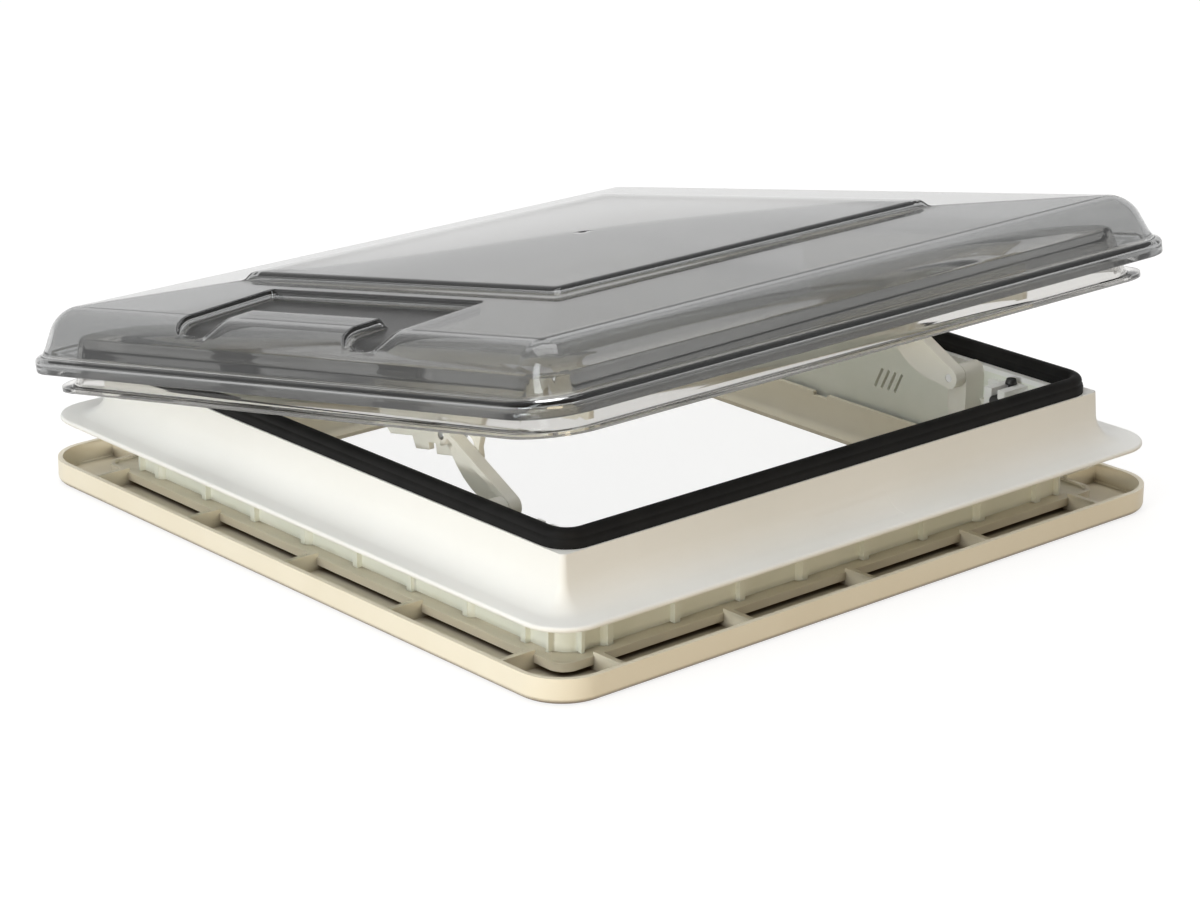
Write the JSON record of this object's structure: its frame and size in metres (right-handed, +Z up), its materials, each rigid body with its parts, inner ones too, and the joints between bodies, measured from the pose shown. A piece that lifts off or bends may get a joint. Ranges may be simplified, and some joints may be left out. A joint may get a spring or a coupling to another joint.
{
  "type": "caravan roof vent",
  "caption": "Square pop-up roof vent: flared roof collar with ribbed spigot and ceiling trim, smoked double-shell lid on rear hinges, carried by two coupled side arms, with lock bolts.",
  "frame": {"origin": "centre of the roof cut-out, on the plane of the roof flange's underside", "axes": "+Z up out of the roof, +Y to the hinge side, X along the hinge"},
  "size_m": [0.485, 0.4794, 0.1846],
  "materials": {
    "white_plastic": "satin moulding",
    "ribbed_plastic": "natural moulding",
    "cream_plastic": "satin moulding",
    "seal_rubber": "matt extrusion",
    "smoked_shell": "polished smoked acrylic",
    "pale_smoked_shell": "polished smoked acrylic",
    "ivory_plastic": "satin moulding",
    "zinc_steel": "zinc plated",
    "black_plastic": "satin moulding"
  },
  "bodies": {
    "frame": {"outer_frame": "white_plastic", "roof_spigot": "ribbed_plastic", "collar_seal": "seal_rubber", "trim_ring": "cream_plastic", "trim_screws": "zinc_steel", "near_arm_bracket": "ivory_plastic", "far_arm_bracket": "ivory_plastic", "bracket_screws": "zinc_steel", "near_pivot_pin": "zinc_steel", "far_pivot_pin": "zinc_steel", "near_lock_housing": "white_plastic", "far_lock_housing": "white_plastic", "lock_screws": "zinc_steel", "left_hinge_bracket": "white_plastic", "right_hinge_bracket": "white_plastic", "hinge_bracket_screws": "zinc_steel", "left_hinge_pin": "zinc_steel", "right_hinge_pin": "zinc_steel"},
    "lid": {"outer_dome": "smoked_shell", "inner_pan": "pale_smoked_shell", "spacer_strip": "pale_smoked_shell", "left_hinge_leaf": "ivory_plastic", "right_hinge_leaf": "ivory_plastic", "hinge_leaf_screws": "zinc_steel", "near_lid_guide": "ivory_plastic", "far_lid_guide": "ivory_plastic", "guide_screws": "zinc_steel"},
    "near_arm_set": {"near_arm": "ivory_plastic", "near_slide_stud": "zinc_steel"},
    "far_arm_set": {"far_arm": "ivory_plastic", "far_slide_stud": "zinc_steel"},
    "near_bolt": {"near_lock_bolt": "black_plastic"},
    "far_bolt": {"far_lock_bolt": "black_plastic"}
  },
  "joints": [
    {"name": "lid_tilt", "type": "hinge", "parent": "frame", "child": "lid", "pos_m": [0, 0.232, 0.0228], "axis": [-1, 0, 0], "range_deg": [-10.8, 3.2]},
    {"name": "near_arm_swing", "type": "hinge", "parent": "frame", "child": "near_arm_set", "pos_m": [-0.172, -0.123, 0.027], "axis": [1, 0, 0], "range_deg": [-58.9, 17.5]},
    {"name": "far_arm_swing", "type": "hinge", "parent": "frame", "child": "far_arm_set", "pos_m": [0.172, -0.123, 0.027], "axis": [1, 0, 0], "range_deg": [-58.9, 17.5]},
    {"name": "near_lock_slide", "type": "slide", "parent": "frame", "child": "near_bolt", "axis": [1, 0, 0], "range_m": [0, 0.008]},
    {"name": "far_lock_slide", "type": "slide", "parent": "frame", "child": "far_bolt", "axis": [-1, 0, 0], "range_m": [0, 0.008]}
  ],
  "couplings": [
    {"joint": "near_arm_swing", "follows": "lid_tilt", "ratio": 5.45},
    {"joint": "far_arm_swing", "follows": "lid_tilt", "ratio": 5.45}
  ]
}
